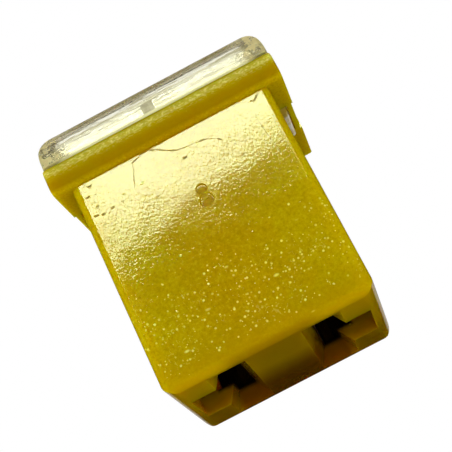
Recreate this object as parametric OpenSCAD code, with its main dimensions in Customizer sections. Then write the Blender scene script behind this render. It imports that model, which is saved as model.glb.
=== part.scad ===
// Cartridge fuse with two female terminals.
// A moulded housing drops over two male tabs in a fuse box. Inside it stands one folded metal strip:
// two spring terminals and the fusible bridge that joins them. A clear lid snaps on from above.
// +Z points from the tab mouths to the lid, X runs across both mouths, Y along the tab's width.
// The origin is the middle of the flat bottom face.

/* [Body] */
// Width of the body across both mouths
body_w = 13.2; // [12.6:0.1:16]
// Depth of the body along the tab's width
body_d = 11.0; // [10.4:0.1:14]
// Height from the bottom face to the underside of the collar
body_h = 14.1; // [12.6:0.1:18]
// Radius of the body's front upright edges, and of its bottom edges along the front and the back
edge_r = 0.5; // [0.3:0.05:0.6]
// Radius of the body's upright edges at the back
back_edge_r = 0.8; // [0.4:0.05:0.9]
// Radius of the body's bottom edges along the narrow sides
base_side_r = 0.85; // [0.4:0.05:1.1]
// Thickness of the walls round the terminal chambers
wall = 0.8; // [0.7:0.05:1]
// Thickness of the bottom wall round the mouths
floor_t = 1.15; // [0.9:0.05:1.5]

/* [Collar] */
// How far the collar stands out beyond the narrow sides
collar_side = 1.05; // [1:0.05:1.5]
// How far the collar stands out beyond the front and the back
collar_front = 0.75; // [0.6:0.05:1.6]
// Thickness of the collar
collar_t = 1.75; // [1.5:0.05:2.4]
// Radius of the collar's upright corners
collar_r = 0.2; // [0.2:0.05:0.6]
// Radius of the collar's upper edge
collar_edge_r = 0.5; // [0.4:0.05:1]

/* [Mouths] */
// Thickness of the tab that a terminal takes
tab_t = 0.8; // [0.6:0.1:1]
// Width of the tab that a terminal takes
tab_w = 7.7; // [6.3:0.1:8.2]
// Distance between the middles of the two tabs
tab_pitch = 5.95; // [5.6:0.05:6.4]
// Clearance of the throat on each side of the tab's thickness
throat_clear = 0.125; // [0.08:0.005:0.2]
// Clearance of the throat at each edge of the tab
throat_end_clear = 0.15; // [0.1:0.05:0.3]
// How far the lead-in opens on each side of the throat
lead_side = 0.7; // [0.4:0.05:0.8]
// How far the lead-in opens at each end of the throat
lead_end = 0.75; // [0.4:0.05:0.9]
// Length of the window for the spring arm
window_l = 4.25; // [3.8:0.05:5]

/* [Terminals] */
// Thickness of the metal strip
strip_t = 0.5; // [0.4:0.05:0.6]
// Gap between the strip and the moulding
strip_gap = 0.05; // [0.03:0.01:0.1]
// Height of a terminal's contact plate above the floor
plate_h = 9.8; // [9:0.1:10.4]
// Height of the box round the top of a terminal
box_h = 3.4; // [2.8:0.1:3.8]
// Width of the spring arm
arm_w = 3.9; // [3:0.1:4]
// How much closer the relaxed arm stands than the tab's thickness
arm_squeeze = 0.2; // [0.1:0.05:0.3]
// Height of the arm's contact bow above the floor
bow_h = 3.1; // [2.6:0.1:3.6]

/* [Fusible bridge] */
// Width of the bridge where it is widest
bridge_w = 3.2; // [2.6:0.1:4]
// Width of the bridge at its two necks
neck_w = 1.0; // [0.6:0.1:1.6]
// Height of the bridge's middle above the collar's underside
bridge_rise = 0.8; // [0.4:0.05:1]
// Inner radius of the bridge's bends
bend_r = 0.5; // [0.3:0.1:0.8]
// Radius of the tin rivet's shank
tin_r = 0.5; // [0.4:0.05:0.6]

/* [Cover] */
// How far the lid stands in from the collar's outline
cover_inset = 0.1; // [0.1:0.05:0.25]
// Height of the lid above the collar
cover_h = 2.2; // [2.05:0.05:2.6]
// Wall thickness of the lid
cover_wall = 0.8; // [0.6:0.05:1]
// Thickness of the lid's roof
cover_roof = 0.7; // [0.5:0.05:0.9]
// Radius of the lid's upper edge along the sides
cover_side_r = 1.9; // [1.2:0.05:2]
// Radius of the lid's upper edge along the front and the back
cover_front_r = 1.5; // [1.2:0.05:2]
// Thickness of a snap leg
leg_t = 0.45; // [0.4:0.05:0.5]
// Width of a snap leg
leg_w = 3.5; // [3:0.1:4.5]
// Gap between a snap leg and the walls of its slot
leg_gap = 0.06; // [0.04:0.01:0.08]
// How far a snap leg's hook reaches in towards the body
hook = 0.18; // [0.16:0.02:0.28]

/* [Hidden] */
$fn = 48;
eps = 0.01;
overrun = 1;

// Heights
collar_top = body_h + collar_t;
cover_top = collar_top + cover_h;
bridge_z = body_h + bridge_rise;

// Collar and lid outlines
collar_w = body_w + 2 * collar_side;
collar_d = body_d + 2 * collar_front;
collar_under_r = min(collar_front, collar_t - collar_edge_r);
cover_w = collar_w - 2 * cover_inset;
cover_d = collar_d - 2 * cover_inset;
cover_r = 0.3;
lid_inner_r = 0.3;

// Chambers, one on each side of the middle wall
chamber_x = body_w / 2 - wall;
chamber_y = body_d / 2 - wall;
arc_room = 2;
middle_top = body_h - arc_room;
chamber_r = 0.1;

// Throats and lead-ins of the mouths
throat_in = tab_pitch / 2 - tab_t / 2 - throat_clear;
throat_out = tab_pitch / 2 + tab_t / 2 + throat_clear;
throat_y = tab_w / 2 + throat_end_clear;

// Contact plates, boxes and spring arms
plate_x = throat_in - strip_t / 2;
plate_w = 2 * (chamber_y - 2 * strip_gap);
middle_x = throat_in - strip_t - strip_gap;
plate_top = floor_t + plate_h;
box_top = plate_top - 0.4;
box_bottom = box_top - box_h;
box_w = 2 * (chamber_y - 0.3);
box_x = chamber_x - 0.4 - strip_t / 2;
bow_x = throat_in + tab_t - arm_squeeze + strip_t / 2;
bow_z = floor_t + bow_h;
bow_r = 0.9;
arm_lean = 28;
lip_lean = 32;
lip_l = 1.6;

// Guide ribs that keep the plate against the middle wall
rib_in = throat_in + 0.15;
rib_t = 0.6;
rib_reach = 0.55;

// Raised rim round the top opening, inside the lid
rim_t = 0.4;
rim_h = 0.35;

// Snap legs
leg_in = body_w / 2 + leg_gap;
leg_out = leg_in + leg_t;
slot_out = leg_out + hook - leg_gap;
slot_w = leg_w + 2 * leg_gap;
hook_top = body_h - leg_gap;
hook_h = 0.3;
hook_nose = 0.12;
latch_relief = 0.35;
relief_h = 0.9;
notch_d = 0.1;
notch_w = slot_w + 0.2;

// Gate mark on the front: two shallow dimples that run together, with the gate's stub between them
gate_x = 0.4;
gate_z = 9.8;
gate_pitch = 0.74;
gate_top_r = 0.36;
gate_low_r = 0.46;
gate_depth = 0.14;
gate_flare = 0.06;
gate_stub_r = 0.22;
gate_stub_drop = 0.1;

// Gate pad at the foot of the lid's front wall
lid_gate_x = -0.26;
lid_gate_w = 0.78;
lid_gate_h = 0.65;
lid_gate_t = 0.08;
lid_gate_root = 0.1;

// Tin rivet heads
tin_head_r = tin_r + 0.35;
tin_head_h = 0.25;

// Neck cuts in the bridge
neck_cut_r = 0.4;
neck_cut_x = tin_head_r + neck_cut_r;

// A rectangle with round corners, centred.
module rounded_rect(w, d, r) {
    square([w - 2 * r, d], center = true);
    square([w, d - 2 * r], center = true);
    for (x = [-1, 1], y = [-1, 1])
        translate([x * (w / 2 - r), y * (d / 2 - r)]) circle(r);
}

// The end view of a slab that stands on y = 0 and has round upper corners.
module crowned_profile(w, h, r) {
    translate([-w / 2, 0]) square([w, h - r]);
    translate([-(w / 2 - r), 0]) square([w - 2 * r, h]);
    for (x = [-1, 1])
        translate([x * (w / 2 - r), h - r]) circle(r);
}

// A slab on z = 0 with round upright corners and a round upper edge, of side_r along the sides and
// front_r along the front and the back.
module crowned_slab(w, d, h, corner_r, side_r, front_r) {
    intersection() {
        linear_extrude(h) rounded_rect(w, d, corner_r);
        rotate([90, 0, 0]) linear_extrude(d + overrun, center = true) crowned_profile(w, h, side_r);
        rotate([90, 0, 90]) linear_extrude(w + overrun, center = true) crowned_profile(d, h, front_r);
    }
}

// The collar seen along X: a crowned profile whose front lower corner is rounded back to the body.
module collar_profile() {
    front = -collar_d / 2;
    intersection() {
        crowned_profile(collar_d, collar_t, collar_edge_r);
        union() {
            translate([front, collar_under_r]) square([collar_d, collar_t]);
            translate([front + collar_under_r, 0]) square([collar_d, collar_t]);
            translate([front + collar_under_r, collar_under_r]) circle(collar_under_r);
        }
    }
}

// The collar, with its rounded upper edge and the rounding under its front.
module collar() {
    intersection() {
        linear_extrude(collar_t) rounded_rect(collar_w, collar_d, collar_r);
        rotate([90, 0, 0])
            linear_extrude(collar_d + overrun, center = true)
                crowned_profile(collar_w, collar_t, collar_edge_r);
        rotate([90, 0, 90]) linear_extrude(collar_w + overrun, center = true) collar_profile();
    }
}

// The body seen from above, with its front towards -y.
module body_outline() {
    translate([-body_w / 2, -body_d / 2 + edge_r]) square([body_w, body_d - edge_r - back_edge_r]);
    translate([-body_w / 2 + edge_r, -body_d / 2]) square([body_w - 2 * edge_r, body_d / 2]);
    translate([-body_w / 2 + back_edge_r, 0]) square([body_w - 2 * back_edge_r, body_d / 2]);
    for (side = [-1, 1]) {
        translate([side * (body_w / 2 - edge_r), -body_d / 2 + edge_r]) circle(edge_r);
        translate([side * (body_w / 2 - back_edge_r), body_d / 2 - back_edge_r]) circle(back_edge_r);
    }
}

// The block under the collar, with its rounded edges at the bottom.
module body_block() {
    h = body_h + eps;
    translate([0, 0, h]) mirror([0, 0, 1]) intersection() {
        linear_extrude(h) body_outline();
        rotate([90, 0, 0])
            linear_extrude(body_d + overrun, center = true) crowned_profile(body_w, h, base_side_r);
        rotate([90, 0, 90])
            linear_extrude(body_w + overrun, center = true) crowned_profile(body_d, h, edge_r);
    }
}

// A tapered opening through the bottom wall: the tab's throat with its lead-in on all four sides.
module tab_mouth() {
    throat_c = (throat_in + throat_out) / 2;
    half_x = (throat_out - throat_in) / 2;
    slope_x = lead_side / floor_t;
    slope_y = lead_end / floor_t;
    intersection() {
        translate([throat_c, 0, 0]) rotate([90, 0, 0])
            linear_extrude(body_d, center = true)
                polygon([
                    [-half_x - lead_side - slope_x * overrun, -overrun],
                    [half_x + lead_side + slope_x * overrun, -overrun],
                    [half_x, floor_t],
                    [half_x, floor_t + overrun],
                    [-half_x, floor_t + overrun],
                    [-half_x, floor_t]
                ]);
        rotate([90, 0, 90])
            linear_extrude(body_w / 2)
                polygon([
                    [-throat_y - lead_end - slope_y * overrun, -overrun],
                    [throat_y + lead_end + slope_y * overrun, -overrun],
                    [throat_y, floor_t],
                    [throat_y, floor_t + overrun],
                    [-throat_y, floor_t + overrun],
                    [-throat_y, floor_t]
                ]);
    }
}

// The window beside the throat, which gives the spring arm's lip room and lets a gauge reach it.
module arm_window() {
    translate([throat_out - eps, -window_l / 2, -overrun])
        cube([chamber_x - throat_out + eps, window_l, floor_t + 2 * overrun]);
}

// One terminal's chamber, open at the top.
module chamber() {
    translate([(middle_x + chamber_x) / 2, 0, floor_t])
        linear_extrude(collar_top + overrun)
            rounded_rect(chamber_x - middle_x, 2 * chamber_y, chamber_r);
}

// Two ribs on the front and back walls of a chamber, which hold the contact plate in its guide.
module plate_ribs() {
    for (y = [-1, 1])
        translate([rib_in, y * (chamber_y - rib_reach / 2) - rib_reach / 2 - eps, floor_t - eps])
            cube([rib_t, rib_reach + 2 * eps, box_bottom - floor_t - 0.3]);
}

// The slot for a snap leg: through the collar, and a relief in the body's side to spring into.
module latch_slot() {
    translate([body_w / 2 - eps, -slot_w / 2, body_h - relief_h])
        cube([slot_out - body_w / 2 + eps, slot_w, relief_h + collar_t + overrun]);
    translate([body_w / 2 - latch_relief, -slot_w / 2, body_h - relief_h])
        cube([latch_relief + overrun, slot_w, relief_h - eps]);
    translate([collar_w / 2 - notch_d, -notch_w / 2, body_h - overrun])
        cube([overrun, notch_w, collar_t + 2 * overrun]);
}

// One dimple of the gate mark, with its floor on z = 0 and a wall that flares out towards +z.
module dimple(r) {
    grow = gate_flare / gate_depth;
    cylinder(h = 2 * gate_depth, r1 = r - gate_flare, r2 = r - gate_flare + 2 * gate_depth * grow);
}

// The gate mark, as a tool that cuts into the front face.
module gate_mark() {
    translate([gate_x, -body_d / 2 + gate_depth, gate_z]) rotate([90, 0, 0]) {
        difference() {
            union() {
                translate([0, gate_pitch / 2, 0]) dimple(gate_top_r);
                translate([0, -gate_pitch / 2, 0]) dimple(gate_low_r);
            }
            translate([0, -gate_stub_drop, -eps]) cylinder(h = gate_depth / 2, r = gate_stub_r);
        }
    }
}

// The yellow moulding.
module housing() {
    color("gold") {
        difference() {
            union() {
                body_block();
                translate([0, 0, body_h]) collar();
                translate([0, 0, collar_top - eps])
                    linear_extrude(rim_h + eps)
                        rounded_rect(2 * (chamber_x + rim_t), 2 * (chamber_y + rim_t), chamber_r + rim_t);
            }
            for (side = [0, 1]) mirror([side, 0, 0]) {
                chamber();
                tab_mouth();
                arm_window();
                latch_slot();
            }
            translate([0, 0, middle_top])
                linear_extrude(collar_top)
                    rounded_rect(2 * chamber_x, 2 * chamber_y, chamber_r);
            gate_mark();
        }
        for (side = [0, 1]) mirror([side, 0, 0]) plate_ribs();
    }
}

// One snap leg with its hook, on the +X side.
module snap_leg() {
    leg_bottom = hook_top - hook_h;
    rotate([90, 0, 0])
        linear_extrude(leg_w, center = true)
            polygon([
                [leg_in, collar_top + eps],
                [leg_in, hook_top],
                [leg_in - hook, hook_top],
                [leg_in - hook, hook_top - hook_nose],
                [leg_in, leg_bottom],
                [leg_out - hook_nose, leg_bottom],
                [leg_out, leg_bottom + hook_nose],
                [leg_out, collar_top + eps]
            ]);
}

// The clear lid.
module cover() {
    color([0.86, 0.9, 0.92, 0.45]) {
        difference() {
            translate([0, 0, collar_top])
                crowned_slab(cover_w, cover_d, cover_h, cover_r, cover_side_r, cover_front_r);
            translate([0, 0, collar_top - overrun])
                crowned_slab(cover_w - 2 * cover_wall, cover_d - 2 * cover_wall,
                    cover_h - cover_roof + overrun, lid_inner_r,
                    cover_side_r - cover_wall, cover_front_r - cover_wall);
        }
        for (side = [0, 1]) mirror([side, 0, 0]) snap_leg();
        translate([lid_gate_x - lid_gate_w / 2, -cover_d / 2 - lid_gate_t, collar_top])
            cube([lid_gate_w, lid_gate_t + lid_gate_root, lid_gate_h]);
    }
}

// Points along an arc in the X-Z plane.
function arc(cx, cz, r, from, to, n = 8) =
    [for (i = [0:n]) [cx + r * cos(from + (to - from) * i / n), cz + r * sin(from + (to - from) * i / n)]];

// Unit vector across a line from p to q, to its left.
function across(p, q) = let (d = q - p) [-d[1], d[0]] / norm(d);

// Where the edge of a strip lies beside point i of its middle line.
function edge_point(path, i, half) = let (
        last = len(path) - 1,
        a = across(path[max(i - 1, 0)], path[max(i, 1)]),
        b = across(path[min(i, last - 1)], path[min(i + 1, last)]),
        m = (a + b) / norm(a + b)
    ) path[i] + m * half / (m * a);

// The outline of a strip of thickness t along a middle line.
function strip_outline(path, t) = concat(
    [for (i = [0:len(path) - 1]) edge_point(path, i, t / 2)],
    [for (i = [len(path) - 1:-1:0]) edge_point(path, i, -t / 2)]
);

// A strip bent along a middle line in the X-Z plane, of width w along Y.
module bent_strip(path, w) {
    rotate([90, 0, 0]) linear_extrude(w, center = true) polygon(strip_outline(path, strip_t));
}

// The middle line of a spring arm: down from the box, in to the contact bow, out again to the lip.
arm_top = box_bottom + 0.4;
arm_foot_z = bow_z + bow_r * sin(arm_lean);
arm_foot_x = bow_x + bow_r * (1 - cos(arm_lean));
arm_knee_z = arm_foot_z + (box_x - arm_foot_x) / tan(arm_lean);
arm_path = concat(
    [[box_x, max(arm_top, arm_knee_z + 0.1)], [box_x, arm_knee_z]],
    arc(bow_x + bow_r, bow_z, bow_r, 180 - arm_lean, 180 + lip_lean),
    [[bow_x + bow_r * (1 - cos(lip_lean)) + lip_l * sin(lip_lean),
      bow_z - bow_r * sin(lip_lean) - lip_l * cos(lip_lean)]]
);

// The middle line of the bridge: up from one plate, over, and down to the other.
bend_mid = bend_r + strip_t / 2;
bridge_path = concat(
    [[plate_x, plate_top - strip_t]],
    arc(plate_x - bend_mid, bridge_z - bend_mid, bend_mid, 0, 90),
    arc(-plate_x + bend_mid, bridge_z - bend_mid, bend_mid, 90, 180),
    [[-plate_x, plate_top - strip_t]]
);

// One terminal: contact plate, box round its top and spring arm, on the +X side.
module terminal() {
    translate([plate_x - strip_t / 2, -plate_w / 2, floor_t])
        cube([strip_t, plate_w, plate_h]);
    for (y = [-1, 1])
        translate([plate_x, y * (box_w - strip_t) / 2 - strip_t / 2, box_bottom])
            cube([box_x - plate_x + strip_t / 2, strip_t, box_h]);
    translate([box_x - strip_t / 2, -box_w / 2, box_bottom])
        cube([strip_t, box_w, box_h]);
    bent_strip(arm_path, arm_w);
}

// The tool that nips one edge of the bridge down to its neck: a notch with a round bottom.
module neck_notch() {
    translate([neck_cut_x, neck_w / 2 + neck_cut_r, bridge_z - strip_t]) {
        cylinder(h = 2 * strip_t, r = neck_cut_r);
        translate([-neck_cut_r, 0, 0]) cube([2 * neck_cut_r, bridge_w, 2 * strip_t]);
    }
}

// The bridge, with a hole for the tin rivet and a neck on each side of it.
module bridge() {
    difference() {
        bent_strip(bridge_path, bridge_w);
        translate([0, 0, bridge_z]) cylinder(h = 2 * strip_t, r = tin_r, center = true);
        for (x = [0, 1], y = [0, 1])
            mirror([x, 0, 0]) mirror([0, y, 0]) neck_notch();
    }
}

// The folded strip: both terminals and the bridge are one piece of metal.
module fuse_element() {
    color("silver") {
        for (side = [0, 1]) mirror([side, 0, 0]) terminal();
        bridge();
    }
}

// The tin rivet in the middle of the bridge.
module tin_spot() {
    color("gainsboro") {
        translate([0, 0, bridge_z]) {
            cylinder(h = strip_t + 2 * eps, r = tin_r, center = true);
            for (z = [0, 1]) mirror([0, 0, z])
                translate([0, 0, strip_t / 2]) cylinder(h = tin_head_h, r = tin_head_r);
        }
    }
}

housing();
cover();
fuse_element();
tin_spot();
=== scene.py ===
"""Cartridge fuse with a yellow moulded housing, a clear lid and a folded terminal strip.

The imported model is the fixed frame. This script gives each of its pieces a finish, stands it on
a pale floor card, and sets the lamps and the camera. Finishes are laid out in millimetres in the
model's own axes: x across the front, y away from the viewer, z up from the base. Cards and lamps
are placed in metres. Colours are linear.
"""

import math

import bmesh
import bpy
from mathutils import Euler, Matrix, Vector


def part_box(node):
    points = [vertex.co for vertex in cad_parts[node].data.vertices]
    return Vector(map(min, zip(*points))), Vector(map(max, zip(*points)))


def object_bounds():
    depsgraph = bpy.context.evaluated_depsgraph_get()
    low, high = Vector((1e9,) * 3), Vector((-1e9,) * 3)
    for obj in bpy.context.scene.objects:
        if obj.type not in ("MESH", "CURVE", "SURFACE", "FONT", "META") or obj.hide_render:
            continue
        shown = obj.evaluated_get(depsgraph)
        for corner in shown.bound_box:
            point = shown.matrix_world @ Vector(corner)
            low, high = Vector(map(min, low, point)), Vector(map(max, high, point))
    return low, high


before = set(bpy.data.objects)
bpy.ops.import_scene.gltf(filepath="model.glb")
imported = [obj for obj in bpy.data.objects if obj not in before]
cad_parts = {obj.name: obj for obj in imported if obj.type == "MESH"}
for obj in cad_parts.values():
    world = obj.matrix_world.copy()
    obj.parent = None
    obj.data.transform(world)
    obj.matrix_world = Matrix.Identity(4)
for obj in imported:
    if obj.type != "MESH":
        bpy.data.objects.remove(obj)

cad_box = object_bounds()
cover_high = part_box("cover")[1]

MM = 0.001
SCENE = bpy.context.scene


# ---------------------------------------------------------------- node helpers

class Finish:
    """One material, and short ways to add nodes to it. A value is a number or a socket."""

    def __init__(self, name):
        self.material = bpy.data.materials.new(name)
        self.material.use_nodes = True
        self.tree = self.material.node_tree
        self.shader = self.tree.nodes["Principled BSDF"]
        metres = self.add("TexCoord").outputs["Object"]
        self.place = self.add("Mapping", Vector=metres, Scale=(1 / MM,) * 3).outputs["Vector"]
        split = self.add("SeparateXYZ", Vector=self.place)
        self.x, self.y, self.z = (split.outputs[axis] for axis in "XYZ")

    def add(self, kind, settings=None, **inputs):
        node = self.tree.nodes.new("ShaderNode" + kind)
        for key, value in (settings or {}).items():
            setattr(node, key, value)
        for key, value in inputs.items():
            self.feed(node.inputs[key.replace("_", " ")], value)
        return node

    def feed(self, socket, value):
        if isinstance(value, bpy.types.NodeSocket):
            self.tree.links.new(value, socket)
        else:
            socket.default_value = value

    def set(self, **inputs):
        """Feeds the material's main shader."""
        for key, value in inputs.items():
            self.feed(self.shader.inputs[key.replace("_", " ")], value)

    def surface(self, socket):
        """Puts another shader in the main shader's place."""
        self.feed(self.tree.nodes["Material Output"].inputs["Surface"], socket)

    def maths(self, operation, *values, clamp=False):
        node = self.add("Math", {"operation": operation, "use_clamp": clamp})
        for socket, value in zip(node.inputs, values):
            self.feed(socket, value)
        return node.outputs["Value"]

    def chain(self, operation, values):
        result = values[0]
        for value in values[1:]:
            result = self.maths(operation, result, value)
        return result

    def product(self, *values):
        return self.chain("MULTIPLY", values)

    def smallest(self, *values):
        return self.chain("MINIMUM", values)

    def largest(self, *values):
        return self.chain("MAXIMUM", values)

    def size_of(self, value):
        return self.maths("ABSOLUTE", value)

    def ramp(self, value, low, high, start=0.0, end=1.0):
        """start up to low, end beyond high, and smooth between them. With low above high it runs
        the other way: start from low upwards, end below high."""
        node = self.add("MapRange", {"interpolation_type": "SMOOTHSTEP"}, Value=value)
        for name, number in {"From Min": low, "From Max": high, "To Min": start, "To Max": end}.items():
            self.feed(node.inputs[name], number)
        return node.outputs["Result"]

    def span(self, share, start, end):
        """From start to end as share goes from 0 to 1."""
        return self.ramp(share, 0.0, 1.0, start, end)

    def band(self, value, low, full, last, high):
        """1 from full to last, with soft edges that end at low and at high."""
        return self.smallest(self.ramp(value, low, full), self.ramp(value, high, last))

    def mix(self, share, first, second):
        node = self.add("Mix", {"data_type": "RGBA"}, Factor=share)
        self.feed(node.inputs[6], first)
        self.feed(node.inputs[7], second)
        return node.outputs[2]

    def drawn(self, share):
        """Places squeezed along x, so that a pattern read there is drawn out that way."""
        return self.add("Mapping", Vector=self.place, Scale=(share, 1, 1)).outputs["Vector"]

    def noise(self, size, detail=2.0, roughness=0.5, where=None):
        """Noise whose blotches are about size millimetres across."""
        return self.add("TexNoise", Vector=where or self.place, Scale=1 / size, Detail=detail,
                        Roughness=roughness).outputs["Fac"]

    def cells(self, size, where):
        """Cells of about size millimetres: the distance from each one's seed, and its random colour."""
        distance, colour = (self.add("TexVoronoi", Vector=where, Scale=1 / size).outputs[output]
                            for output in ("Distance", "Color"))
        return distance, self.add("SeparateColor", Color=colour).outputs

    def relief(self, *layers):
        """Bumps laid one on another: each is a height, and the millimetres that 1 of it rises."""
        normal = None
        for height, rise in layers:
            node = self.add("Bump", Height=height, Strength=1.0, Distance=rise * MM)
            if normal is not None:
                self.feed(node.inputs["Normal"], normal)
            normal = node.outputs["Normal"]
        self.set(Normal=normal)

    def vector(self, operation, *values, output="Vector", **inputs):
        node = self.add("VectorMath", {"operation": operation}, **inputs)
        for socket, value in zip(node.inputs, values):
            self.feed(socket, value)
        return node.outputs[output]

    def line(self, start, end):
        """Distance in millimetres from the line between two places."""
        start, end = Vector(start), Vector(end)
        along = end - start
        offset = self.vector("SUBTRACT", self.place, start)
        share = self.vector("DOT_PRODUCT", offset, along / along.length_squared, output="Value")
        share = self.smallest(self.largest(share, 0.0), 1.0)
        nearest = self.vector("SCALE", along, Scale=share)
        return self.vector("LENGTH", self.vector("SUBTRACT", offset, nearest), output="Value")


def paint(node_name, finish):
    """Puts a finish on a CAD piece."""
    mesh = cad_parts[node_name].data
    for index in range(len(mesh.materials)):
        mesh.materials[index] = finish.material
    if not mesh.materials:
        mesh.materials.append(finish.material)


# ---------------------------------------------------------------- finishes

# Places on the pieces, in millimetres.
FRONT_Y = -5.5
SIDE_X = 6.5                    # near the narrow sides of the body
COLLAR_Z = 14.1                 # the collar's underside
COLLAR_TOP = 15.85              # where the lid stands on it
LID_TOP = 1000 * cover_high.z
LEG_Z = (14.4, 14.2)            # the lid's snap legs take their painted glint colour below this
CHAMBER = (5.9, 4.7)            # half the width and half the depth that hold the terminal chambers
CHAMBER_EDGE = 0.05
MOUTHS = (5.9, 5.0)             # the same for the mouths in the base
GATE_SPOTS = ((0.38, 10.0), (0.41, 9.25))
GATE_RADIUS = (0.42, 0.34)      # where the gate mark's edge begins and ends

# Fine marks on the front face: how strong each is, and a run of places (x, z) in millimetres.
HAIR_MARKS = [
    (0.7, [(-2.62, 13.75), (-2.25, 13.84), (-1.9, 13.98), (-1.5, 14.0), (-1.15, 13.9), (-0.8, 13.7),
     (-0.4, 13.4), (0.1, 13.14), (0.6, 13.04), (1.2, 13.0), (2.0, 12.86), (2.45, 12.66), (2.8, 12.36)]),
    (0.25, [(-2.6, 13.7), (-2.68, 13.3), (-2.85, 12.8), (-3.1, 12.2)]),
    (0.6, [(5.3, 13.72), (5.42, 13.62), (5.58, 13.64), (5.7, 13.78), (5.85, 13.9), (6.0, 13.9)]),
    (0.2, [(5.16, 13.1), (5.2, 12.3), (5.24, 11.4), (5.4, 10.4), (5.44, 9.7)]),
]

# Colours of the yellow moulding.
YELLOW = (0.425, 0.28, 0.0, 1)
# painted light: the paler, greener yellow of the narrow sides
YELLOW_SIDE_LIGHT = (0.47, 0.358, 0.0, 1)
PALE_FLECK = (0.60, 0.47, 0.01, 1)
DARK_FLECK = (0.30, 0.20, 0.0, 1)
# painted shade and bounced yellow light on the collar, deep low and lighter high
COLLAR_UNDER_SHADE = (0.29, 0.185, 0.0, 1)
COLLAR_UPPER_LIGHT = (0.40, 0.345, 0.0, 1)
# pale streaks of painted highlight on the collar's frosted edge
RIM_FROST_SHEEN = (0.74, 0.64, 0.16, 1)
# painted shade low on the front
NEAR_BASE_SHADE = (0.37, 0.26, 0.0, 1)
# painted shade under the base and in its mouths
BASE_WALL_SHADE = (0.42, 0.265, 0.0, 1)
BASE_SHADE = (0.075, 0.024, 0.0, 1)
# painted glint on the pips low on the front
GLINT = (0.95, 0.81, 0.12, 1)
DIRT = (0.16, 0.10, 0.0, 1)
# painted shade for the lower part of the terminal chambers
CHAMBER_SHADE = (0.006, 0.0025, 0.0, 1)

# Colours of the clear moulding.
CLEAR = (0.98, 0.98, 0.965, 1)
# painted light: the yellow cast on the front of the lid
LID_YELLOW_CAST_HIGH = (0.95, 0.92, 0.62, 1)
LID_YELLOW_CAST_LOW = (0.87, 0.86, 0.42, 1)
# painted light: the yellow line at the lid's foot
CLEAR_FOOT_GLOW = (0.98, 0.98, 0.35, 1)
CLEAR_STREAK = (0.34, 0.28, 0.09, 1)
# painted shade on the front of the lid's crown
CROWN_SHADE_LOW = (0.78, 0.70, 0.40, 1)
CROWN_SHADE_HIGH = (0.58, 0.52, 0.24, 1)
# frosted ends: real frost, with painted light from the yellow parts seen through
FROSTED_END_YELLOW_CAST = (0.76, 0.65, 0.27, 1)
LID_GATE = (0.20, 0.17, 0.06, 1)
# painted glint on the lid's snap legs
LEG_BLOTCH = (0.85, 0.72, 0.40, 1)
LEG_GLINT = (1.0, 0.97, 0.85, 1)
LEG_AHEAD = (0.50, 0.36, 0.05, 1)

# The two tones of each metal.
PLATING = ((0.55, 0.53, 0.5, 1), (0.72, 0.7, 0.66, 1))
TIN = ((0.6, 0.6, 0.6, 1), (0.78, 0.78, 0.77, 1))


def glints_and_specks(finish, size, share, reach, turn=None):
    """Scattered soft dots, one in a cell at most: share is how many cells hold one. With a turn
    in degrees they are drawn out that way."""
    where = finish.place
    if turn is not None:
        where = finish.add("Mapping", Vector=where, Rotation=(0, math.radians(turn), 0),
                           Scale=(0.5, 1, 1)).outputs["Vector"]
    distance, parts = finish.cells(size, where)
    present = finish.maths("LESS_THAN", parts["Red"], share)
    strength = finish.product(present, finish.span(parts["Blue"], 0.35, 1.0))
    width = finish.span(parts["Green"], reach * 0.6, reach)
    dot = finish.maths("SUBTRACT", 1.0, finish.maths("DIVIDE", distance, width), clamp=True)
    return finish.product(finish.ramp(dot, 0.0, 0.8), strength)


def glinting_pips(finish, front):
    """Small pips low on the front face, in patches, with a few fine curls between them: real bumps, each
    with a painted glint.
    """
    patch = finish.ramp(finish.noise(1.5, detail=1), 0.35, 0.6)
    low = finish.product(finish.smallest(finish.band(finish.z, 0.6, 1.4, 3.4, 8.6), front),
                         finish.span(patch, 0.45, 1.0))
    tiny = glints_and_specks(finish, 0.24, finish.span(low, 0.01, 0.75), 0.38)
    small = glints_and_specks(finish, 0.34, finish.span(low, 0.01, 0.65), 0.32)
    large = glints_and_specks(finish, 0.5, finish.span(low, 0.04, 0.45), 0.24, turn=20)
    bend = finish.size_of(finish.maths("SUBTRACT", finish.noise(0.42, detail=1), 0.5))
    curl = finish.product(finish.ramp(bend, 0.035, 0.01),
                          finish.ramp(finish.noise(0.2, detail=1), 0.5, 0.6),
                          finish.ramp(finish.product(patch, low), 0.4, 0.9))
    pale = finish.largest(tiny, small, large, finish.product(curl, 0.2))
    return finish.product(pale, finish.ramp(finish.z, 0.3, 0.6))


def dark_marks(finish, front):
    """The hair marks on the front face, and specks in its upper left."""
    wobble = finish.ramp(finish.noise(0.4, detail=1), 0.3, 0.7, -0.03, 0.03)
    marks = []
    for strength, run in HAIR_MARKS:
        near = finish.smallest(*(finish.line((x1, FRONT_Y, z1), (x2, FRONT_Y, z2))
                                 for (x1, z1), (x2, z2) in zip(run, run[1:])))
        marks.append(finish.ramp(finish.maths("ADD", near, wobble), 0.01, 0.045, strength, 0.0))
    hair = finish.product(finish.largest(*marks),
                          finish.ramp(finish.noise(0.8, detail=1), 0.3, 0.6, 0.5, 1.0))
    specks = glints_and_specks(finish, 0.3, finish.ramp(finish.x, -5.5, -3.0, 0.75, 0.05), 0.37, turn=-25)
    upper = finish.smallest(finish.band(finish.z, 9.5, 12.0, 14.0, 14.05), front)
    return finish.largest(hair, finish.product(specks, upper))


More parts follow.
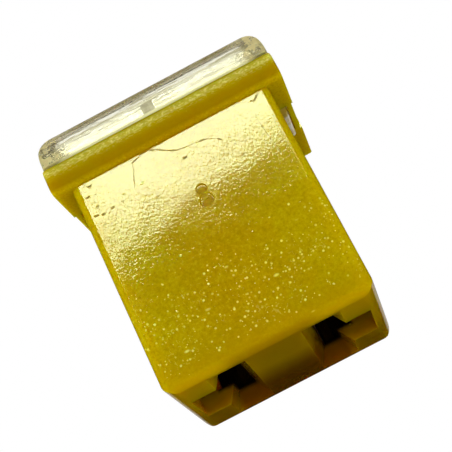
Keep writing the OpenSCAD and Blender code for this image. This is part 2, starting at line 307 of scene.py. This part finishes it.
def yellow_moulding():
    finish = Finish("yellow_moulding")
    aside, depth = finish.size_of(finish.x), finish.size_of(finish.y)
    front = finish.ramp(finish.y, FRONT_Y + 0.2, FRONT_Y + 0.1)

    # the terminal chambers, from the bottom wall up in the middle and from higher up beside it;
    # their lower part is painted near black, as painted shade
    middle = finish.smallest(finish.ramp(finish.z, 0.85, 1.15), finish.ramp(aside, 4.7, 4.5))
    chamber = finish.smallest(finish.ramp(aside, CHAMBER[0] + CHAMBER_EDGE, CHAMBER[0]),
                              finish.ramp(depth, CHAMBER[1] + CHAMBER_EDGE, CHAMBER[1]),
                              finish.largest(finish.ramp(finish.z, 2.2, 4.0), middle),
                              finish.ramp(finish.z, COLLAR_TOP - 0.15, COLLAR_TOP - 0.25))
    inside = finish.product(chamber, finish.ramp(finish.z, 11.0, 8.0))

    # painted light: lighter and greener towards the narrow sides; uneven in between, with pale and dark
    # flecks
    cloud = finish.ramp(finish.noise(2.6, detail=3), 0.3, 0.7, -0.2, 0.2)
    tone = finish.maths("POWER", finish.maths("DIVIDE", aside, SIDE_X), 2.0)
    colour = finish.mix(finish.maths("ADD", tone, cloud, clamp=True), YELLOW, YELLOW_SIDE_LIGHT)
    fleck = finish.noise(0.17, detail=2, roughness=0.7)
    colour = finish.mix(finish.ramp(fleck, 0.5, 0.7, 0.0, 0.4), colour, PALE_FLECK)
    colour = finish.mix(finish.ramp(fleck, 0.5, 0.3, 0.0, 0.5), colour, DARK_FLECK)

    # painted shade and bounced light on the collar, deeper low and lighter high, and a frosted upper edge
    ochre = finish.mix(finish.ramp(finish.z, COLLAR_Z + 0.45, COLLAR_Z + 1.25), COLLAR_UNDER_SHADE, COLLAR_UPPER_LIGHT)
    colour = finish.mix(finish.ramp(finish.z, COLLAR_Z + 0.05, COLLAR_Z + 0.25, 0.0, 0.9), colour, ochre)
    streak = finish.noise(0.11, detail=2, roughness=0.6, where=finish.drawn(0.45))
    rim = finish.band(finish.z, COLLAR_Z + 0.65, COLLAR_Z + 1.25, COLLAR_TOP - 0.4, COLLAR_TOP - 0.25)
    # painted highlight: pale streaks on the collar's frosted upper edge
    colour = finish.mix(finish.product(rim, finish.ramp(streak, 0.45, 0.7, 0.0, 0.75)), colour, RIM_FROST_SHEEN)

    # painted shade: deeper towards the base, and darker under it and inside its mouths
    colour = finish.mix(finish.ramp(finish.z, 2.6, 0.9, 0.0, 0.5), colour, NEAR_BASE_SHADE)
    mouths = finish.smallest(finish.ramp(aside, MOUTHS[0] + 0.2, MOUTHS[0]),
                             finish.ramp(depth, MOUTHS[1] + 0.1, MOUTHS[1]),
                             finish.ramp(finish.z, 3.0, 2.0))
    under = finish.largest(finish.ramp(finish.z, 0.6, 0.1), mouths)
    # painted shade: a redder yellow under the base and in its mouths
    colour = finish.mix(finish.product(under, 0.7), colour, BASE_WALL_SHADE)
    # painted shade: darker towards the back and in the middle, less so near the narrow sides
    shade = finish.largest(finish.ramp(finish.y, -5.0, 2.5, 0.0, 0.95),
                           finish.ramp(aside, 3.6, 2.0, 0.0, 0.4))
    shade = finish.product(shade, finish.ramp(aside, 3.5, 4.3, 1.0, 0.72),
                           finish.ramp(aside, 5.6, 6.4, 1.0, 0.55))
    colour = finish.mix(finish.product(under, shade), colour, BASE_SHADE)

    pale = glinting_pips(finish, front)
    mark = dark_marks(finish, front)
    # painted glints: the pips in pale gold
    colour = finish.mix(pale, colour, GLINT)
    colour = finish.mix(mark, colour, DIRT)
    # painted shade: the chambers' lower part near black
    finish.set(Base_Color=finish.mix(inside, colour, CHAMBER_SHADE))

    # glossy, but dull on the gate mark, the dark marks and the collar's upper edge
    gate = finish.smallest(*(finish.line((x, FRONT_Y, z), (x + 0.01, FRONT_Y, z)) for x, z in GATE_SPOTS))
    gate = finish.ramp(gate, *GATE_RADIUS)
    edge = finish.band(finish.z, COLLAR_Z + 0.8, COLLAR_Z + 1.25, COLLAR_TOP - 0.35, COLLAR_TOP - 0.2)
    dull = finish.span(finish.product(edge, finish.ramp(streak, 0.62, 0.52, 0.5, 1.0)), 0.0, 0.6)
    finish.set(Roughness=finish.largest(dull, finish.product(gate, 0.85), finish.product(mark, 0.6), 0.04))

    # shallow sink, two moulded grains, brushing at the left side, pips, marks, and the collar's
    # slope with its frost
    brushed = finish.product(finish.noise(0.1, detail=2, where=finish.drawn(0.3)),
                             finish.ramp(finish.x, -4.0, -5.5))
    frost = finish.product(finish.noise(0.2, detail=2, roughness=0.7), edge)
    finish.relief((finish.noise(2.4, detail=1), 0.014), (finish.noise(0.16, detail=1), 0.0042),
                  (finish.noise(0.09, detail=1), 0.0015), (brushed, 0.003), (pale, 0.002), (mark, -0.015),
                  (finish.ramp(finish.z, COLLAR_Z + 0.4, COLLAR_Z + 1.2), 0.06), (frost, 0.03))
    finish.set(IOR=1.5, Specular_Tint=(0.92, 1.0, 0.63, 1),
               Subsurface_Weight=finish.span(chamber, 0.85, 0.0),
               Subsurface_Radius=(1.0, 0.55, 0.04), Subsurface_Scale=4 * MM)
    return finish


def clear_moulding():
    finish = Finish("clear_moulding")
    aside, depth = finish.size_of(finish.x), finish.size_of(finish.y)
    along = finish.drawn(0.06)
    lines = finish.noise(0.19, detail=3, roughness=0.8, where=along)
    cloud = finish.noise(0.3, detail=3, roughness=0.65)
    uneven = finish.ramp(finish.noise(0.9, detail=3, where=along), 0.3, 0.7, -0.09, 0.09)
    height = finish.maths("ADD", finish.z, uneven)

    # which part is which: the outer skin, frosted ends, a hazy crown, dark drawn streaks, the foot
    # on the collar and the gate mark
    skin = finish.largest(finish.ramp(depth, 5.4, 5.5), finish.ramp(aside, 6.75, 6.9))
    reach = finish.maths("ADD", aside, finish.ramp(cloud, 0.3, 0.7, -0.9, 0.9))
    ends = finish.product(finish.ramp(reach, 6.3, 7.1),
                          finish.ramp(finish.z, COLLAR_TOP - 0.15, COLLAR_TOP + 0.05),
                          finish.ramp(finish.y, -3.0, 1.0, 1.0, 0.3))
    crown = finish.smallest(skin, finish.ramp(finish.y, -3.5, -1.0, 1.0, 0.15),
                            finish.ramp(height, LID_TOP - 1.02, LID_TOP - 0.94),
                            finish.ramp(finish.z, LID_TOP - 0.01, LID_TOP - 0.06))
    streaks = finish.product(finish.ramp(lines, 0.5, 0.57), finish.smallest(
        skin, finish.ramp(height, LID_TOP - 2.1, LID_TOP - 1.4, 0.6, 1.0),
        finish.ramp(finish.z, LID_TOP - 0.1, LID_TOP - 0.2)))
    foot = finish.band(finish.z, COLLAR_TOP - 0.25, COLLAR_TOP - 0.05, COLLAR_TOP + 0.05, COLLAR_TOP + 0.13)
    gate = finish.smallest(finish.band(finish.x, -0.67, -0.62, 0.1, 0.15),
                           finish.band(finish.z, COLLAR_TOP + 0.01, COLLAR_TOP + 0.05,
                                       COLLAR_TOP + 0.6, COLLAR_TOP + 0.65),
                           finish.ramp(finish.y, -5.9, -6.0))

    # painted light: a yellow cast on the front of the lid that the yellow housing gives it, stronger low
    # down
    front = finish.mix(finish.ramp(height, LID_TOP - 1.2, LID_TOP - 1.7), LID_YELLOW_CAST_HIGH, LID_YELLOW_CAST_LOW)
    tint = finish.mix(finish.product(skin, finish.ramp(finish.y, -3.5, -1.0, 1.0, 0.0)), CLEAR, front)
    # painted light: a bright yellow line at the lid's foot, for the collar seen through it
    tint = finish.mix(foot, tint, CLEAR_FOOT_GLOW)
    tint = finish.mix(finish.product(streaks, 0.9), tint, CLEAR_STREAK)
    # painted shade: a darker yellow-grey band on the front of the crown, darker higher up
    brown = finish.mix(finish.ramp(height, LID_TOP - 0.85, LID_TOP - 0.65), CROWN_SHADE_LOW, CROWN_SHADE_HIGH)
    tint = finish.mix(crown, tint, brown)
    # the frost on the ends is real; their olive yellow is painted light from the yellow parts seen through
    # them
    tint = finish.mix(finish.product(ends, finish.ramp(cloud, 0.42, 0.6, 0.3, 1.0)), tint, FROSTED_END_YELLOW_CAST)
    tint = finish.mix(finish.product(gate, finish.ramp(cloud, 0.35, 0.65, 0.75, 1.0)), tint, LID_GATE)
    # painted glint: the snap legs pale and blotched, a darker yellow at their front end
    leg = finish.mix(finish.ramp(finish.noise(0.5, detail=2), 0.4, 0.6), LEG_BLOTCH, LEG_GLINT)
    leg = finish.mix(finish.ramp(finish.y, -1.5, -0.9), LEG_AHEAD, leg)
    finish.set(Base_Color=finish.mix(finish.ramp(finish.z, *LEG_Z), tint, leg))

    # the snap legs are nearly opaque, and the frosted ends let less light through
    finish.set(Transmission_Weight=finish.product(finish.ramp(finish.z, 14.3, 14.6, 0.05, 1.0),
                                                  finish.span(ends, 1.0, 0.42)))
    hazy = finish.span(finish.largest(finish.product(crown, 0.5), ends, gate, streaks), 0.04, 0.4)
    finish.set(Roughness=finish.largest(hazy, finish.product(gate, 0.5), finish.product(foot, 0.3)))

    # drawn lines along the lid, with a coarser frost on the gate mark and towards the ends
    frost = finish.product(finish.noise(0.14, detail=2, roughness=0.7),
                           finish.largest(ends, finish.product(gate, 0.4)))
    finish.relief((finish.noise(1.8, detail=1), 0.01), (finish.product(lines, skin), 0.014), (frost, 0.04))
    finish.set(IOR=1.5, Specular_Tint=(1.0, 0.98, 0.78, 1))
    return finish


def metal(name, blotch, colours, roughness, grain, rise):
    """Bare metal with blotches and a fine grain, whose sizes and rise are in millimetres."""
    finish = Finish(name)
    tone = finish.noise(blotch, detail=3)
    finish.set(Metallic=1.0, Base_Color=finish.mix(tone, *colours),
               Roughness=finish.ramp(tone, 0.3, 0.7, *roughness))
    finish.relief((finish.noise(grain), rise))
    return finish


paint("housing", yellow_moulding())
paint("cover", clear_moulding())
paint("fuse_element", metal("plated_strip", blotch=0.8, colours=PLATING, roughness=(0.25, 0.4),
                            grain=0.15, rise=0.004))
paint("tin_spot", metal("bare_tin", blotch=0.3, colours=TIN, roughness=(0.3, 0.5), grain=0.2, rise=0.01))


# ---------------------------------------------------------------- floor, light and camera

FLOOR_HALF = 0.6
FLOOR_Z = -0.02 * MM
FLOOR_FADE = (50.0, 220.0)      # millimetres from the middle
FLOOR_TONES = ((0.80, 0.80, 0.79, 1), (0.82, 0.82, 0.81, 1))
FILL_FADE = (-0.2, 0.6)         # from ahead to behind, as the y of a direction
FILL_BEHIND = 0.05

# The room of cards around the fuse: its four corners, and the levels of the bands on its walls.
ROOM = [(-0.8, -0.31), (0.8, -0.31), (0.8, 0.8), (-0.8, 0.8)]
ROOM_LEVELS = (-0.3, 0.04, 0.2, 0.6)
SHINE = [(0.1, -0.05), (0.28, -0.05), (0.28, 0.19), (0.1, 0.19)]
SHINE_Z = 0.35
DARK_CARD = (0.006, 0.005, 0.001)
PALE_CARD = (0.45, 0.43, 0.38)
CARD_ABOVE = (0.3, 0.25, 0.1)
SHINE_CARD = (3, 3, 3)

# The slot ahead of the fuse, in metres, and in millimetres the arch of its lower edge.
WINDOW_Y = -0.3
WINDOW = [(-0.110, 0.110), (0.130, 0.140), (0.130, 0.186), (-0.110, 0.186)]
WINDOW_ARCH, WINDOW_SLOPE, WINDOW_EDGE = -0.0006, 0.115, 149.4
WINDOW_YELLOW = (1.0, 0.90, 0.08, 1)
WHITE = (1, 1, 1, 1)

CAMERA_PLACE = (3.619, -70.146, -19.339)
CAMERA_TURN = (114.808, 24.547, 13.447)
CAMERA_LENS, CAMERA_SENSOR = 97.58, 36


def in_scene(name, shape):
    """A piece from a finished shape."""
    mesh = bpy.data.meshes.new(name)
    shape.to_mesh(mesh)
    shape.free()
    piece = bpy.data.objects.new(name, mesh)
    SCENE.collection.objects.link(piece)
    return piece


def flat_card(name, corners):
    shape = bmesh.new()
    shape.faces.new([shape.verts.new(corner) for corner in corners])
    return in_scene(name, shape)


def floor_card():
    """A pale card under the base, seen from above only, so that a view from below has clear air.
    It fades out, so that a low view has no edge behind the fuse."""
    shape = bmesh.new()
    bmesh.ops.create_grid(shape, x_segments=1, y_segments=1, size=FLOOR_HALF)
    bmesh.ops.translate(shape, verts=shape.verts, vec=(0, 0, FLOOR_Z))
    card = in_scene("floor_card", shape)
    finish = Finish("floor_card")
    finish.set(Roughness=0.9, Specular_IOR_Level=0.0,
               Base_Color=finish.mix(finish.noise(8.0), *FLOOR_TONES))
    facing = finish.add("NewGeometry").outputs["Backfacing"]
    seen = finish.add("LightPath").outputs["Is Camera Ray"]
    far = finish.maths("SQRT", finish.maths("ADD", finish.product(finish.x, finish.x),
                                            finish.product(finish.y, finish.y)))
    share = finish.product(seen, finish.maths("SUBTRACT", 1.0, facing),
                           finish.ramp(far, *FLOOR_FADE, 1.0, 0.0))
    blend = finish.add("MixShader")
    for socket, value in zip(blend.inputs, (share, finish.add("BsdfTransparent").outputs[0],
                                            finish.shader.outputs[0])):
        finish.feed(socket, value)
    finish.surface(blend.outputs[0])
    card.data.materials.append(finish.material)


def surroundings(fill):
    """White for what looks straight at it, in glass or in gloss. The rest gets a soft fill, which
    is stronger from ahead of the fuse than from behind."""
    world = bpy.data.worlds.new("surroundings")
    SCENE.world = world
    world.use_nodes = True
    tree = world.node_tree
    light = tree.nodes["Background"]
    light.inputs["Color"].default_value = WHITE
    path = tree.nodes.new("ShaderNodeLightPath")
    last = path.outputs["Is Camera Ray"]
    for name in ("Is Glossy Ray", "Is Transmission Ray"):
        either = tree.nodes.new("ShaderNodeMath")
        either.operation = "MAXIMUM"
        tree.links.new(last, either.inputs[0])
        tree.links.new(path.outputs[name], either.inputs[1])
        last = either.outputs[0]
    way = tree.nodes.new("ShaderNodeTexCoord")
    split = tree.nodes.new("ShaderNodeSeparateXYZ")
    tree.links.new(way.outputs["Generated"], split.inputs["Vector"])
    dome = tree.nodes.new("ShaderNodeMapRange")
    tree.links.new(split.outputs["Y"], dome.inputs["Value"])
    for name, number in {"From Min": FILL_FADE[0], "From Max": FILL_FADE[1],
                         "To Min": fill, "To Max": FILL_BEHIND}.items():
        dome.inputs[name].default_value = number
    strength = tree.nodes.new("ShaderNodeMapRange")
    tree.links.new(last, strength.inputs["Value"])
    tree.links.new(dome.outputs["Result"], strength.inputs["To Min"])
    strength.inputs["To Max"].default_value = 1.0
    tree.links.new(strength.outputs["Result"], light.inputs["Strength"])


def lamp(name, turn, height, distance, size, brightness):
    """A square soft lamp that gloss and glass don't show. turn is its way round from the front
    towards +X and height its angle up, both in degrees; brightness is how bright its face is
    beside white."""
    data = bpy.data.lights.new(name, "AREA")
    data.shape = "SQUARE"
    data.size = size
    data.energy = brightness * math.pi * size * size
    piece = bpy.data.objects.new(name, data)
    SCENE.collection.objects.link(piece)
    piece.visible_glossy = False
    piece.visible_transmission = False
    turn, height = math.radians(turn), math.radians(height)
    way = Vector((math.sin(turn) * math.cos(height), -math.cos(turn) * math.cos(height), math.sin(height)))
    middle = (cad_box[0] + cad_box[1]) / 2
    piece.location = middle + way * distance
    piece.rotation_euler = way.to_track_quat("Z", "Y").to_euler()


def window(brightness):
    """A bright slot ahead of the fuse and above it, whose reflection lies across the top of the
    front. Its lower edge is a shallow slanting arch that fades downwards through yellow."""
    card = flat_card("window", [(x, WINDOW_Y, z) for x, z in WINDOW])
    card.visible_camera = False
    finish = Finish("window")
    edge = finish.maths("MULTIPLY_ADD", finish.product(finish.x, finish.x), WINDOW_ARCH, WINDOW_EDGE)
    edge = finish.maths("ADD", edge, finish.product(finish.x, WINDOW_SLOPE))
    share = finish.product(finish.ramp(finish.maths("SUBTRACT", finish.z, edge), -9.0, 6.0),
                           finish.ramp(finish.x, -85.0, -25.0, 0.75, 1.0))
    light = finish.add("Emission", Color=finish.mix(finish.ramp(share, 0.1, 1.0), WINDOW_YELLOW, WHITE),
                       Strength=finish.product(share, brightness))
    finish.surface(light.outputs[0])
    card.data.materials.append(finish.material)


def gloss_card(name, corners, colour):
    """A card seen only in gloss, so that the mouldings keep their depth of colour."""
    card = flat_card(name, corners)
    for ray in ("camera", "diffuse", "transmission", "shadow", "volume_scatter"):
        setattr(card, "visible_" + ray, False)
    finish = Finish(name)
    finish.surface(finish.add("Emission", Color=(*colour, 1)).outputs[0])
    card.data.materials.append(finish.material)


def gloss_room():
    """Dark walls, with a pale band on all but the front one so that side views have a horizon, and
    a bright patch above on the right that shines in the lid."""
    for way, ends in zip(("front", "right", "back", "left"), zip(ROOM, ROOM[1:] + ROOM[:1])):
        middle = DARK_CARD if way == "front" else PALE_CARD
        for name, low, high, colour in zip(("low", "middle", "high"), ROOM_LEVELS, ROOM_LEVELS[1:],
                                           (DARK_CARD, middle, DARK_CARD)):
            corners = [(x, y, low) for x, y in ends] + [(x, y, high) for x, y in ends[::-1]]
            gloss_card("card_%s_%s" % (way, name), corners, colour)
    for name, outline, z, colour in (("below", ROOM[::-1], ROOM_LEVELS[0], DARK_CARD),
                                     ("above", ROOM[::-1], ROOM_LEVELS[-1], CARD_ABOVE),
                                     ("shine", SHINE, SHINE_Z, SHINE_CARD)):
        gloss_card("card_" + name, [(x, y, z) for x, y in outline], colour)


def camera():
    data = bpy.data.cameras.new("camera")
    data.sensor_width = CAMERA_SENSOR
    data.lens = CAMERA_LENS
    data.clip_start, data.clip_end = 0.005, 5
    piece = bpy.data.objects.new("camera", data)
    SCENE.collection.objects.link(piece)
    piece.location = Vector(CAMERA_PLACE) * MM
    piece.rotation_euler = Euler([math.radians(a) for a in CAMERA_TURN], "XYZ")
    SCENE.camera = piece


floor_card()
surroundings(fill=0.34)
gloss_room()
window(brightness=18.8)
lamp("left", turn=-78, height=-8, distance=0.4, size=0.26, brightness=3.4)
lamp("right", turn=62, height=-28, distance=0.4, size=0.26, brightness=2.3)
lamp("below", turn=0, height=-55, distance=0.4, size=0.25, brightness=2.6)
lamp("top", turn=180, height=80, distance=0.4, size=0.3, brightness=3)
lamp("back", turn=180, height=20, distance=0.5, size=0.3, brightness=2.5)
camera()
SCENE.view_settings.view_transform = "Standard"
